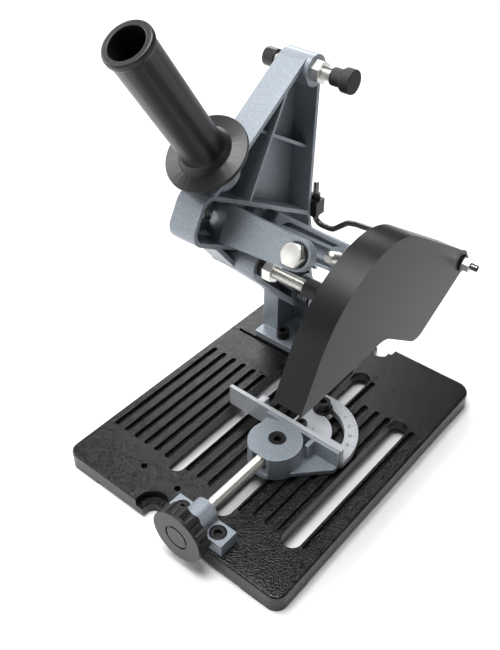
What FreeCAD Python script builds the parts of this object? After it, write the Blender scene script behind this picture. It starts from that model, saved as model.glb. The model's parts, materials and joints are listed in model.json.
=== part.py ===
import FreeCAD, Part
import math
import os

# Cut-off stand for a hand-held angle grinder: a ribbed cast base, a post with a
# sprung swing arm that clamps the grinder's gear head, a disc guard and a quick vise.
# Millimetres. Drawn from the front-left corner of the plate's top face: x to the
# right, y to the back, z up. save() then moves everything so that the origin is the
# middle of the base's footprint, on the bench.

V = FreeCAD.Vector

# Base plate
BASE_W = 230.0
BASE_L = 290.0
BASE_H = 17.0
PLATE_T = 7.0
WALL = 6.0
RIM_DEPTH = 9.5
FOOT_GAP = 3.0
GROOVE_W = 5.2
GROOVE_D = 3.2
GROOVE_STEP = 12.1
SLOT_W = 16.8
MID_X = 143.1
CUT_X = 203.6
LEFT_SLOT_X = 82.6

# Post and pivot
PIVOT_Y = 245.0
PIVOT_Z = 60.0
PIVOT_R = 6.0
HUB_R = 17.0
CHEEK_L = (25.0, 43.5)
CHEEK_R = (82.0, 98.0)
HUB_X = (45.0, 64.0)
FOOT_T = 6.0

# Swing arm casting
ARM_X0 = 46.0
ARM_WEB = 4.0
ARM_X1 = 71.0
FLANGE = 3.5
RIB = 2.6
FORK_ANGLE = 30.0
FORK_Y = 160.95
FORK_Z = 174.15
CELL_HALF = 20.0

# Fork brackets and the two bolts that grip the gear head
FORK_GAP = 73.0
GRIP_W = 1.1
BRACKET_END = 138.0
BRACKET_END_R = 12.2
BRACKET_DEPTH = 9.0
BRACKET_SKIN = 4.0
CLAMP_S = 21.5

# Support screws, M10
SCREW_R = 5.0
RUN_FIT = 0.06
TOP_YZ = (233.0, 281.0)
LOW_YZ = (151.0, 150.5)

# Handle
HANDLE_X = 59.0
HANDLE_ROOT = (135.0, 233.5)
HANDLE_TILT = 33.6
GRIP_R = 16.5

# Guard
GUARD_X0 = 192.3
GUARD_X1 = 215.0
SHEET = 1.6
ROD_R = 2.6
ROD_END = (245.0, 159.0)

# Vise
VISE_Z = 16.2
JAW_Y = 105.0
JAW_R = 23.0
JAW_TOP = 24.0
FENCE_Y = 131.8
FENCE_T = 3.6
FENCE_TOP = 21.0
FENCE_PIVOT = (143.1, 140.7)

os.makedirs("parts", exist_ok=True)


# ---------------------------------------------------------------- helpers

def save(name, shape):
    out = shape.copy()
    out.translate(V(-BASE_W / 2, -BASE_L / 2, BASE_H))
    out.exportStep("parts/" + name + ".step")
    solids = len(out.Solids)
    print(name, "solids", solids, "valid", out.isValid(), "volume", round(out.Volume))


def block(x0, x1, y0, y1, z0, z1):
    return Part.makeBox(x1 - x0, y1 - y0, z1 - z0, V(x0, y0, z0))


def rod(start, axis, r, length):
    return Part.makeCylinder(r, length, V(*start), V(*axis))


def tube(start, axis, r_out, r_in, length):
    return rod(start, axis, r_out, length).cut(rod(start, axis, r_in, length))


def join(shapes):
    out = shapes[0]
    if len(shapes) > 1:
        out = out.multiFuse(shapes[1:])
    return out.removeSplitter()


def place(shape, point, axis):
    shape.Placement = FreeCAD.Placement(V(*point), FreeCAD.Rotation(V(0, 0, 1), V(*axis)))
    return shape


def corner(before, at, after, r):
    """Start, middle and end of the arc that rounds one corner of an outline."""
    a = V(before[0] - at[0], before[1] - at[1], 0).normalize()
    b = V(after[0] - at[0], after[1] - at[1], 0).normalize()
    half = a.getAngle(b) / 2
    reach = r / math.tan(half)
    bisector = (a + b).normalize()
    centre = bisector * (r / math.sin(half))
    p = V(at[0], at[1], 0)
    return p + a * reach, p + centre - bisector * r, p + b * reach


def face_of(points, to_space):
    """Flat face from corners (a, b, radius)."""
    n = len(points)
    arcs = []
    for i in range(n):
        at = points[i]
        if at[2] > 0:
            arcs.append(corner(points[i - 1], at, points[(i + 1) % n], at[2]))
        else:
            p = V(at[0], at[1], 0)
            arcs.append((p, p, p))
    edges = []
    for i in range(n):
        start, mid, end = arcs[i]
        nxt = arcs[(i + 1) % n][0]
        if points[i][2] > 0:
            edges.append(Part.Arc(to_space(start), to_space(mid), to_space(end)).toShape())
        if (nxt - end).Length > 1e-6:
            edges.append(Part.LineSegment(to_space(end), to_space(nxt)).toShape())
    return Part.Face(Part.Wire(edges))


def prism_x(points, x0, x1):
    """Outline in (y, z), drawn out along x."""
    return face_of(points, lambda p: V(x0, p.x, p.y)).extrude(V(x1 - x0, 0, 0))


def prism_z(points, z0, z1):
    return face_of(points, lambda p: V(p.x, p.y, z0)).extrude(V(0, 0, z1 - z0))


def prism_y(points, y0, y1):
    """Outline in (x, z), drawn out along y."""
    return face_of(points, lambda p: V(p.x, y0, p.y)).extrude(V(0, y1 - y0, 0))


def inset(points, t):
    """The same outline, moved inwards by t. Corners are listed clockwise."""
    n = len(points)
    lines = []
    for i in range(n):
        a = points[i]
        b = points[(i + 1) % n]
        d = V(b[0] - a[0], b[1] - a[1], 0).normalize()
        inward = V(d.y, -d.x, 0)
        lines.append((V(a[0], a[1], 0) + inward * t, d))
    out = []
    for i in range(n):
        p, d = lines[i - 1]
        q, e = lines[i]
        cross = d.x * e.y - d.y * e.x
        s = ((q.x - p.x) * e.y - (q.y - p.y) * e.x) / cross
        at = p + d * s
        r = points[i][2]
        r = r - t if cross < 0 else r + t
        out.append((at.x, at.y, max(r, 0.6)))
    return out


def slot_y(x, y0, y1, width, z0, z1):
    """A round-ended slot that runs along y."""
    r = width / 2
    body = block(x - r, x + r, y0 + r, y1 - r, z0, z1)
    ends = [rod((x, y, z0), (0, 0, 1), r, z1 - z0) for y in (y0 + r, y1 - r)]
    return join([body] + ends)


def hexagon(af, height):
    r = af / math.sqrt(3)
    pts = [V(r * math.cos(math.radians(a)), r * math.sin(math.radians(a)), 0)
           for a in range(0, 360, 60)]
    face = Part.Face(Part.makePolygon(pts + [pts[0]]))
    return face.extrude(V(0, 0, height))


def socket_screw(point, axis, r, length, head_r, head_h, key):
    """Cap screw. point is under the head, axis is the way the shank goes."""
    head = Part.makeCylinder(head_r, head_h, V(0, 0, -head_h))
    edges = [e for e in head.Edges if abs(e.BoundBox.ZMin + head_h) < 1e-6
             and abs(e.BoundBox.ZMax + head_h) < 1e-6]
    head = head.makeChamfer(0.5, edges)
    socket = hexagon(key, head_h * 0.55)
    socket.translate(V(0, 0, -head_h))
    shank = Part.makeCylinder(r, length)
    return place(head.cut(socket).fuse(shank).removeSplitter(), point, axis)


def hex_bolt(point, axis, r, length, af, head_h):
    head = hexagon(af, head_h)
    head.translate(V(0, 0, -head_h))
    cone = Part.makeCone(af / 2 - 0.4, af / 2 + head_h * 1.6, head_h, V(0, 0, -head_h))
    shank = Part.makeCylinder(r, length)
    return place(head.common(cone).fuse(shank).removeSplitter(), point, axis)


def hex_nut(point, axis, r_in, af, height):
    return place(hexagon(af, height).cut(Part.makeCylinder(r_in, height)), point, axis)


def washer(point, axis, r_out, r_in, t):
    return tube(point, axis, r_out, r_in, t)


def tilt(shape):
    """From the fork's own axes (x, along the gripping bolts, across) to the stand."""
    shape.rotate(V(0, 0, 0), V(1, 0, 0), -FORK_ANGLE)
    shape.translate(V(0, FORK_Y, FORK_Z))
    return shape


def fork_yz(s, w):
    c = math.cos(math.radians(FORK_ANGLE))
    k = math.sin(math.radians(FORK_ANGLE))
    return FORK_Y + c * s + k * w, FORK_Z - k * s + c * w


def on_handle(shape):
    shape.rotate(V(0, 0, 0), V(1, 0, 0), HANDLE_TILT)
    shape.translate(V(HANDLE_X, HANDLE_ROOT[0], HANDLE_ROOT[1]))
    return shape


# ---------------------------------------------------------------- base plate

corners = [(0, 0, 10), (0, BASE_L, 14), (BASE_W, BASE_L, 14), (BASE_W, 0, 10)]
plate = prism_z(corners, -BASE_H, 0)
top_edges = [e for e in plate.Edges if e.BoundBox.ZMin > -1e-6]
plate = plate.makeFillet(1.8, top_edges)
plate = plate.cut(prism_z(inset(corners, WALL), -BASE_H - 1, -PLATE_T))

MID_SLOT = (31.0, 243.5)
SLOTS = [(LEFT_SLOT_X, 40.5, 211.0), (MID_X, MID_SLOT[0], MID_SLOT[1]), (CUT_X, 42.0, 211.0)]
NOTCHES = [(97.0, 0.0, 1), (133.0, BASE_L, -1)]
POST_SCREWS = [(x, y) for x in (53.0, 73.0) for y in (231.0, 277.0)]
BLOCK_SCREWS = [(124.3, 12.0), (161.9, 12.0)]
SIDE_HOLES = [(63.6, 29.5), (101.6, 29.5)]

added = []
for x, y0, y1 in SLOTS:
    added.append(slot_y(x, y0 - 3.5, y1 + 3.5, SLOT_W + 7, -RIM_DEPTH, -PLATE_T + 1))
for x, y, inward in NOTCHES:
    y_in = y + inward * 24
    added.append(block(x - 19, x + 19, min(y, y_in) + 1.9, max(y, y_in) - 1.9, -BASE_H + 0.5, -2))
for x, y in POST_SCREWS + BLOCK_SCREWS:
    added.append(rod((x, y, -13), (0, 0, 1), 8.0, 12))
for x, y in SIDE_HOLES:
    added.append(rod((x, y, -11), (0, 0, 1), 6.0, 9))
for x in (5.0, BASE_W - 33.0):
    for y in (5.0, BASE_L - 33.0):
        wall_x = block(x, x + 28, y + 12, y + 16, -BASE_H, -PLATE_T + 1)
        wall_y = block(x + 12, x + 16, y, y + 28, -BASE_H, -PLATE_T + 1)
        added += [wall_x, wall_y]
added.append(block(3, BASE_W - 3, 221, 225, -13, -PLATE_T + 1))
plate = join([plate] + added)

taken = []
for x, y0, y1 in SLOTS:
    taken.append(slot_y(x, y0, y1, SLOT_W, -BASE_H - 1, 1))
left_grooves = [MID_X + GROOVE_STEP * n for n in range(-11, -5)]
mid_grooves = [MID_X + GROOVE_STEP * n for n in (-4, -3, -2, 2, 3, 4)]
for x in left_grooves:
    taken.append(slot_y(x, 47.5, 181.0, GROOVE_W, -GROOVE_D, 1))
for x in mid_grooves:
    taken.append(slot_y(x, 48.5, 208.0, GROOVE_W, -GROOVE_D, 1))
for x in (MID_X - GROOVE_STEP - 0.3, MID_X + GROOVE_STEP + 0.3):
    taken.append(slot_y(x, 44.0, 238.0, GROOVE_W - 0.6, -GROOVE_D, 1))
taken.append(slot_y(216.7, 48.0, 207.0, GROOVE_W, -GROOVE_D, 1))
taken.append(join([block(10, 108, 215.8, 219.2, -GROOVE_D, 1),
                   rod((10, 217.5, -GROOVE_D), (0, 0, 1), 1.7, 4),
                   rod((108, 217.5, -GROOVE_D), (0, 0, 1), 1.7, 4)]))
for x, y, inward in NOTCHES:
    y_c = y + inward * 5.0
    lo, hi = min(y - inward * 2, y_c), max(y - inward * 2, y_c)
    taken.append(rod((x, y_c, -8), (0, 0, 1), 14.0, 9))
    taken.append(block(x - 14, x + 14, lo, hi, -8, 1))
    taken.append(rod((x, y_c, -BASE_H - 1), (0, 0, 1), 6.5, 19))
    taken.append(block(x - 6.5, x + 6.5, lo, hi, -BASE_H - 1, 1))
for x, y in POST_SCREWS + BLOCK_SCREWS:
    taken.append(rod((x, y, -BASE_H), (0, 0, 1), 4.1, BASE_H + 1))
for x, y in SIDE_HOLES:
    taken.append(rod((x, y, -BASE_H), (0, 0, 1), 2.75, BASE_H + 1))
foot_z = -BASE_H + FOOT_GAP
taken.append(block(36, BASE_W - 36, -1, BASE_L + 1, -BASE_H - 1, foot_z))
taken.append(block(-1, BASE_W + 1, 36, BASE_L - 36, -BASE_H - 1, foot_z))
plate = plate.cut(Part.makeCompound(taken))
save("base_plate", plate)

# ---------------------------------------------------------------- post

foot = prism_z([(26, 220.8, 2), (26, 285, 4), (99, 285, 4), (99, 220.8, 2)], 0, FOOT_T)
cheek = [(234, 4, 0), (234, PIVOT_Z - 8, 0), (260, PIVOT_Z - 8, 0), (276, 4, 0)]
parts = [foot]
for x0, x1 in (CHEEK_L, CHEEK_R):
    x0 = max(x0, 26.0) if x0 < 50 else x0
    parts.append(prism_x(cheek, x0, x1))
for x0, x1 in (CHEEK_L, CHEEK_R):
    parts.append(rod((x0, PIVOT_Y, PIVOT_Z), (1, 0, 0), 15.5, x1 - x0))
parts.append(block(CHEEK_L[1] - 2, CHEEK_R[0] + 2, 263, 268, 4, 40))
post = join(parts)
post = post.cut(rod((20, PIVOT_Y, PIVOT_Z), (1, 0, 0), PIVOT_R + RUN_FIT, 90))
holes = [rod((x, y, -1), (0, 0, 1), 4.3, 10) for x, y in POST_SCREWS]
post = post.cut(Part.makeCompound(holes))
save("post", post)

screws = [socket_screw((x, y, FOOT_T), (0, 0, -1), 4.0, 18, 6.5, 8, 6) for x, y in POST_SCREWS]
save("post_screws", Part.makeCompound(screws))

pivot = hex_bolt((CHEEK_L[0] - 2.5, PIVOT_Y, PIVOT_Z), (1, 0, 0), PIVOT_R, 88, 19, 7.5)
save("pivot_bolt", pivot)
rings = [washer((CHEEK_L[0] - 2.5, PIVOT_Y, PIVOT_Z), (1, 0, 0), 12, PIVOT_R + RUN_FIT, 2.5),
         washer((CHEEK_R[1], PIVOT_Y, PIVOT_Z), (1, 0, 0), 12, PIVOT_R + RUN_FIT, 2.5)]
save("pivot_washers", Part.makeCompound(rings))
save("pivot_nut", hex_nut((CHEEK_R[1] + 2.5, PIVOT_Y, PIVOT_Z), (1, 0, 0), PIVOT_R + 0.05, 19, 8))
save("spring_bush", tube((64.6, PIVOT_Y, PIVOT_Z), (1, 0, 0), 9.5, PIVOT_R + RUN_FIT, 16.9))

# The torsion spring is one closed sleeve of the coil's outer size
save("return_spring", tube((65.5, PIVOT_Y, PIVOT_Z), (1, 0, 0), 14.0, 10.4, 15.0))

# ---------------------------------------------------------------- swing arm

hub = (PIVOT_Y, PIVOT_Z)
ring_low = fork_yz(-70, -CELL_HALF)
ring_top = fork_yz(-70, CELL_HALF)
arm_outline = [
    (ring_low[0], ring_low[1], 13),
    (ring_top[0], ring_top[1], 13),
    (119.5, 221.6, 12),
    (246.5, 306.0, 14.5),
    (240.5, 150.0, 30),
    (260.0, 68.0, 4),
    (236.0, 46.0, 4),
    (175.0, 109.5, 30),
    (141.0, 145.0, 20),
    (118.0, 175.0, 8),
]
outer = prism_x(arm_outline, ARM_X0, ARM_X1)
hollow = prism_x(inset(arm_outline, FLANGE), ARM_X0 + ARM_WEB, ARM_X1 + 1)
shell = outer.cut(hollow)


def strip_x(p, q, t, x0, x1):
    """A straight rib of thickness t between two points of the (y, z) plane."""
    d = V(q[0] - p[0], q[1] - p[1], 0).normalize()
    n = V(-d.y, d.x, 0) * (t / 2)
    pts = [(p[0] + n.x, p[1] + n.y, 0), (q[0] + n.x, q[1] + n.y, 0),
           (q[0] - n.x, q[1] - n.y, 0), (p[0] - n.x, p[1] - n.y, 0)]
    return prism_x(pts, x0, x1)


web_x = ARM_X0 + ARM_WEB - 1
mid_wall = CELL_HALF - FLANGE / 2
ribs = [
    strip_x(fork_yz(-63, mid_wall), fork_yz(120, mid_wall), FLANGE, web_x, ARM_X1),
    strip_x(fork_yz(-45, -mid_wall), fork_yz(120, -mid_wall), FLANGE, web_x, ARM_X1),
    strip_x((216, 292), (160.0, 195.0), RIB, web_x, ARM_X1 - 1.5),
    strip_x((150.0, 266.3), (250.0, 205.0), RIB, web_x, ARM_X1 - 6),
    strip_x(LOW_YZ, (236.0, 62.0), RIB, web_x, ARM_X1 - 3),
]
ribs = [r.common(outer) for r in ribs]
bosses = [
    rod((ARM_X0, TOP_YZ[0], TOP_YZ[1]), (1, 0, 0), 12.5, 29),
    rod((ARM_X0, LOW_YZ[0], LOW_YZ[1]), (1, 0, 0), 12.0, 45),
    rod((HUB_X[0], PIVOT_Y, PIVOT_Z), (1, 0, 0), HUB_R, HUB_X[1] - HUB_X[0]),
]
handle_boss = on_handle(Part.makeCone(15, 13, 24, V(0, 0, -10)))
cell_space = tilt(block(ARM_X0 + ARM_WEB, ARM_X1 + 60, -66, 90, -16.5, 16.5))
handle_boss = handle_boss.cut(cell_space)
arm = join([shell] + ribs + bosses + [handle_boss])
near_hub = rod((HUB_X[1], PIVOT_Y, PIVOT_Z), (1, 0, 0), 24, 30)
taken = [
    near_hub,
    rod((40, PIVOT_Y, PIVOT_Z), (1, 0, 0), PIVOT_R + RUN_FIT, 40),
    rod((40, TOP_YZ[0], TOP_YZ[1]), (1, 0, 0), SCREW_R + RUN_FIT, 60),
    rod((40, LOW_YZ[0], LOW_YZ[1]), (1, 0, 0), SCREW_R + RUN_FIT, 80),
    on_handle(Part.makeCylinder(SCREW_R + 0.1, 20, V(0, 0, -2))),
]
for s0, s1 in ((-33, -12.5), (12.5, 33)):
    web_slot = join([block(40, ARM_X0 + ARM_WEB + 1, s0, s1, -4.5, 4.5),
                     rod((40, s0, 0), (1, 0, 0), 4.5, 11),
                     rod((40, s1, 0), (1, 0, 0), 4.5, 11)])
    taken.append(tilt(web_slot))
taken.append(tilt(block(ARM_X0 + ARM_WEB, 130, -64, 100, -16.5, 16.5)).common(
    prism_x(inset(arm_outline, FLANGE), ARM_X0 + ARM_WEB, 130)))
arm = arm.cut(Part.makeCompound(taken))
arm = Part.makeCompound([max(arm.Solids, key=lambda s: s.Volume)]).Solids[0]
save("arm_casting", arm)

# ---------------------------------------------------------------- fork brackets


def bracket(side):
    """side -1 is the front bracket, +1 the rear one. Drawn in the fork's own axes."""
    face = FORK_GAP / 2
    inner = face - BRACKET_DEPTH
    x_foot = ARM_X0 + ARM_WEB + 0.3
    end = (BRACKET_END, GRIP_W)

    def slab(outline, a0, a1):
        """An outline in x and across, given thickness between two depths of this side."""
        y0, y1 = (a0, a1) if side > 0 else (-a1, -a0)
        return prism_y(outline, y0, y1)

    def pin(x, w, r, a0, a1):
        y0, y1 = (a0, a1) if side > 0 else (-a1, -a0)
        return rod((x, y0, w), (0, 1, 0), r, y1 - y0)

    def bar(shrink, x_left, a0, a1):
        r = BRACKET_END_R - shrink
        outline = [(x_left, -15.6 + shrink, 9), (x_left, 15.2 - shrink, 9),
                   (end[0], end[1] + r, 0), (end[0], end[1] - r, 0)]
        return slab(outline, a0, a1).fuse(pin(end[0], end[1], r, a0, a1))

    plate = bar(0, x_foot, inner, face)
    pocket = bar(3.0, x_foot + 29, inner - 1, face - BRACKET_SKIN)
    low_end = slab([(x_foot - 1, -20, 0), (x_foot - 1, 20, 0), (x_foot + 24, 20, 0),
                    (x_foot + 24, -20, 0)], inner - 1, face - BRACKET_SKIN - 1)
    plate = plate.cut(pocket).cut(low_end)
    boss = pin(end[0], end[1], 9.0, inner, face - 1)
    ridges = [slab([(x_foot + 26, w - 1.1, 0), (x_foot + 26, w + 1.1, 0),
                    (end[0] - 5, w + 1.1, 0), (end[0] - 5, w - 1.1, 0)], inner, face - 3)
              for w in (GRIP_W - 5, GRIP_W + 5)]
    foot = slab([(x_foot, -13, 4), (x_foot, 13, 4), (x_foot + 9, 13, 0), (x_foot + 9, -13, 0)],
                face - 22.5, face - 3)
    gusset = prism_z([(x_foot + 8, side * (face - 18), 0), (x_foot + 8, side * (face - 3), 0),
                      (x_foot + 27, side * (face - 3), 0)], -1.5, 1.5)
    body = join([plate, boss, foot, gusset] + ridges)
    slope = [(x_foot - 1, side * (face - 8.6)), (x_foot + 20, side * face),
             (x_foot + 20, side * (face + 3)), (x_foot - 1, side * (face + 3))]
    wire = Part.makePolygon([V(a, b, -30) for a, b in slope + [slope[0]]])
    body = body.cut(Part.Face(wire).extrude(V(0, 0, 60)))
    body = body.cut(pin(end[0], end[1], 5.3, inner - 1, face + 1))
    body = body.cut(rod((x_foot - 1, side * CLAMP_S, 0), (1, 0, 0), 4.0, 11))
    return tilt(body.removeSplitter())


for side, word in ((-1, "front"), (1, "rear")):
    face = FORK_GAP / 2
    save(word + "_bracket", bracket(side))
    out = side * (face + 1.2)
    grip = hex_bolt((BRACKET_END, out, GRIP_W), (0, -side, 0), 5.0, 24, 17, 6.4)
    save(word + "_grip_bolt", tilt(grip))
    ring_y = face if side > 0 else -face - 1.2
    save(word + "_grip_washer", tilt(washer((BRACKET_END, ring_y, GRIP_W), (0, 1, 0), 10.2, 5.3, 1.2)))
    x_bolt = ARM_X0 - 1.9
    clamp = hex_bolt((x_bolt, side * CLAMP_S, 0), (1, 0, 0), 3.9, 14, 13, 5.3)
    save(word + "_clamp_bolt", tilt(clamp))
    save(word + "_clamp_washer", tilt(washer((x_bolt + 0.1, side * CLAMP_S, 0), (1, 0, 0),
                                             10, 4.1, 1.6)))

# ---------------------------------------------------------------- support screws

y, z = TOP_YZ
save("top_screw", rod((36, y, z), (1, 0, 0), SCREW_R, 62))
save("top_locknut", hex_nut((ARM_X0 + 29, y, z), (1, 0, 0), SCREW_R + RUN_FIT, 16, 7))
head = rod((27, y, z), (1, 0, 0), 7.5, 11)
save("top_screw_knob", head.cut(rod((35.9, y, z), (1, 0, 0), SCREW_R + 0.05, 4)))
foot = join([rod((91, y, z), (1, 0, 0), 7.0, 8),
             Part.makeCone(7.0, 9.5, 3, V(99, y, z), V(1, 0, 0)),
             rod((102, y, z), (1, 0, 0), 9.5, 8)])
save("top_foot", foot.cut(rod((90, y, z), (1, 0, 0), SCREW_R + RUN_FIT, 8.1)))

y, z = LOW_YZ
save("lower_screw", rod((36, y, z), (1, 0, 0), SCREW_R, 104))
save("lower_spacer", tube((ARM_X0 + 45, y, z), (1, 0, 0), 8.0, SCREW_R + RUN_FIT, 5.0))
save("lower_locknut", hex_nut((ARM_X0 + 50, y, z), (1, 0, 0), SCREW_R + RUN_FIT, 16, 8))
head = rod((27, y, z), (1, 0, 0), 7.5, 11)
save("lower_screw_knob", head.cut(rod((35.9, y, z), (1, 0, 0), SCREW_R + 0.05, 4)))
cap = rod((134, y, z), (1, 0, 0), 7.2, 12.5)
save("lower_cap", cap.cut(rod((133, y, z), (1, 0, 0), SCREW_R + RUN_FIT, 7.1)))

# ---------------------------------------------------------------- handle

FLANGE_LIFT = 14.0
HANDLE_LEN = 125.0
profile = [(5.3, 0), (15.0, 0), (32.5, 3.5), (32.5, 6.5), (21.0, 8.5), (17.4, 13.0),
           (GRIP_R, 20), (GRIP_R, HANDLE_LEN - 6), (18.0, HANDLE_LEN - 4.5),
           (18.0, HANDLE_LEN - 1), (17.0, HANDLE_LEN), (13.0, HANDLE_LEN),
           (13.0, 16), (9.5, 14), (9.5, 10), (5.3, 10)]
pts = [V(r, 0, h + FLANGE_LIFT) for r, h in profile]
turned = Part.Face(Part.makePolygon(pts + [pts[0]])).revolve(V(0, 0, 0), V(0, 0, 1), 360)
save("handle_grip", on_handle(turned))
bolt = hex_bolt((0, 0, FLANGE_LIFT + 10), (0, 0, -1), SCREW_R, 22, 14, 6)
save("handle_bolt", on_handle(bolt))

# ---------------------------------------------------------------- guard and its rod


def guard_face(x):
    def p(y, z):
        return V(x, y, z)
    path = [
        Part.LineSegment(p(36, 150), p(55, 187)),
        Part.Arc(p(55, 187), p(75, 212.5), p(104, 230)),
        Part.Arc(p(104, 230), p(127, 235), p(163, 225)),
        Part.LineSegment(p(163, 225), p(244, 171)),
        Part.Arc(p(244, 171), p(252, 162), p(249, 152)),
        Part.LineSegment(p(249, 152), p(196, 123)),
        Part.Arc(p(196, 123), p(186, 120), p(177, 123)),
        Part.LineSegment(p(177, 123), p(141, 149)),
        Part.Arc(p(141, 149), p(130, 152.5), p(119, 151)),
        Part.LineSegment(p(119, 151), p(36, 150)),
    ]
    return Part.Face(Part.Wire([e.toShape() for e in path]))


side_plate = guard_face(GUARD_X1 - SHEET).extrude(V(SHEET, 0, 0))
whole = guard_face(GUARD_X0)
inside = whole.makeOffset2D(-SHEET)
depth = GUARD_X1 - SHEET - GUARD_X0
band = whole.extrude(V(depth, 0, 0)).cut(inside.extrude(V(depth, 0, 0)))
under = [(20, 90), (20, 149), (37, 151.9), (119, 152.9), (130, 154.5), (142, 150.9), (178, 125),
         (186, 121.9), (195.2, 125), (243, 151.3), (240, 173), (270, 171), (270, 90)]
wire = Part.makePolygon([V(GUARD_X0 - 1, a, b) for a, b in under + [under[0]]])
band = band.cut(Part.Face(wire).extrude(V(depth + 1, 0, 0)))
guard = side_plate.fuse(max(band.Solids, key=lambda s: s.Volume)).removeSplitter()
guard = guard.cut(rod((200, ROD_END[0], ROD_END[1]), (1, 0, 0), ROD_R + RUN_FIT, 30))
save("guard", guard)


def bent_rod(points, r):
    """Round bar through the points, with a ball at each bend."""
    out = []
    for a, b in zip(points[:-1], points[1:]):
        d = V(*b) - V(*a)
        out.append(Part.makeCylinder(r, d.Length, V(*a), d))
    for p in points[1:-1]:
        out.append(Part.makeSphere(r, V(*p)))
    return join(out)


ROD_Y = 250.5
route = [(69, ROD_Y, 176), (69, ROD_Y, 141), (70.5, ROD_Y, 137), (74, ROD_Y, 135), (88, ROD_Y, 135),
         (94, ROD_Y, 137.5), (104, ROD_Y, 147), (111, ROD_Y, 149.5), (190, ROD_END[0], ROD_END[1]),
         (228, ROD_END[0], ROD_END[1])]
save("guard_rod", bent_rod(route, ROD_R))
clamp = block(62, 76, 242.6, 254.5, 146, 160)
save("rod_clamp", clamp.cut(rod((69, ROD_Y, 140), (0, 0, 1), ROD_R + 0.05, 30)))
nuts = [hex_nut((69, ROD_Y, z), (0, 0, 1), ROD_R + 0.05, 8, 4) for z in (142, 160)]
save("rod_nuts", Part.makeCompound(nuts))
x = GUARD_X1
y, z = ROD_END
save("guard_nut", hex_nut((x + 1.5, y, z), (1, 0, 0), ROD_R + 0.05, 10, 6))
rings = [washer((x, y, z), (1, 0, 0), 7, ROD_R + RUN_FIT, 1.5),
         washer((x - SHEET - 1.5, y, z), (1, 0, 0), 7, ROD_R + RUN_FIT, 1.5)]
save("guard_washers", Part.makeCompound(rings))
save("guard_backnut", hex_nut((x - SHEET - 6.5, y, z), (1, 0, 0), ROD_R + 0.05, 10, 5))

# ---------------------------------------------------------------- vise

body = join([block(114, 172.6, 3, 21, 0, 12),
             block(MID_X - 11, MID_X + 11, 3, 21, 0, VISE_Z),
             rod((MID_X, 3, VISE_Z), (0, 1, 0), 11, 18)])
body = body.cut(rod((MID_X, 2, VISE_Z), (0, 1, 0), SCREW_R + RUN_FIT, 20))
holes = [rod((x, y, -1), (0, 0, 1), 4.3, 20) for x, y in BLOCK_SCREWS]
holes += [rod((x, y, 4.6), (0, 0, 1), 7.1, 9) for x, y in BLOCK_SCREWS]
save("nut_block", body.cut(Part.makeCompound(holes)))
screws = [socket_screw((x, y, 4.6), (0, 0, -1), 4.0, 17, 6.5, 7, 6) for x, y in BLOCK_SCREWS]
save("nut_block_screws", Part.makeCompound(screws))

save("lead_screw", rod((MID_X, -9, VISE_Z), (0, 1, 0), SCREW_R, 107))
knob = join([rod((MID_X, -14, VISE_Z), (0, 1, 0), 23.5, 13)])
flutes = []
for i in range(12):
    a = math.radians(30 * i + 15)
    flutes.append(rod((MID_X + 26.5 * math.cos(a), -11.5, VISE_Z + 26.5 * math.sin(a)),
                      (0, 1, 0), 5.6, 20))
knob = knob.cut(Part.makeCompound(flutes))
knob = knob.cut(tube((MID_X, -14.1, VISE_Z), (0, 1, 0), 11.2, 9.4, 1.1))
knob = knob.cut(rod((MID_X, -9.05, VISE_Z), (0, 1, 0), SCREW_R + 0.05, 20))
save("knob", knob)

boss = rod((MID_X, JAW_Y, 0.3), (0, 0, 1), JAW_R, JAW_TOP - 0.3)
flange = [(138, 84.4, 0), (120.5, 108, 0), (116, 131.2, 3), (190.5, 131.2, 3), (190.5, 124, 3),
          (150, 82.2, 10)]
jaw_floor = prism_z(flange, 0.3, 4.8)
wall = block(116, 190.5, 127.3, 131.3, 0.3, 21.5)
ribs = [block(163.3, 167, 118.5, 128, 0.3, 20.5), block(122, 125, 112, 128, 0.3, 17)]
step = block(116, 124, 120, 128, 0.3, 15)
jaw = join([boss, jaw_floor, wall, step] + ribs)
under_flange = prism_z([(112, 70, 0), (112, 140, 0), (190.6, 140, 0), (190.6, 123.6, 0),
                        (150.5, 80.5, 0), (150, 70, 0)], -1, 40)
jaw = jaw.common(under_flange.fuse(rod((MID_X, JAW_Y, -1), (0, 0, 1), JAW_R, 40)))
jaw = jaw.cut(block(100, 200, 60, 83.9, 5, 40))
jaw = jaw.cut(rod((MID_X, JAW_Y, -1), (0, 0, 1), 17.2, 20))
jaw = jaw.cut(rod((MID_X, JAW_Y + 3, 10), (0, 0, 1), 7.8, 20))
jaw = jaw.cut(rod((MID_X, 80, VISE_Z), (0, 1, 0), SCREW_R + 0.3, 19))
jaw = jaw.cut(block(MID_X - 7, MID_X + 7, 70, 92, 9.8, 22.4))
save("moving_jaw", jaw)

carrier = join([rod((MID_X, JAW_Y, 0.3), (0, 0, 1), 17.0, 18.5),
                block(MID_X - 8, MID_X + 8, JAW_Y - 14, JAW_Y + 14, -7, 1)])
carrier = carrier.cut(rod((MID_X, 80, VISE_Z), (0, 1, 0), SCREW_R + RUN_FIT, 18.3))
carrier = carrier.cut(block(MID_X - 5.06, MID_X + 5.06, 80, 98.3, VISE_Z, 20))
carrier = carrier.cut(rod((MID_X, JAW_Y + 3, 13.5), (0, 0, 1), 7.0, 10))
carrier = carrier.cut(rod((MID_X, JAW_Y + 3, -10), (0, 0, 1), 4.2, 30))
save("jaw_carrier", carrier)
save("jaw_screw", socket_screw((MID_X, JAW_Y + 3, 13.5), (0, 0, -1), 4.0, 27, 6.9, 9.4, 6))
nut = block(MID_X - 14, MID_X + 14, JAW_Y - 9, JAW_Y + 15, -14, -RIM_DEPTH - 0.3)
save("slide_nut", nut.cut(rod((MID_X, JAW_Y + 3, -16), (0, 0, 1), 4.05, 10)))

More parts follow.
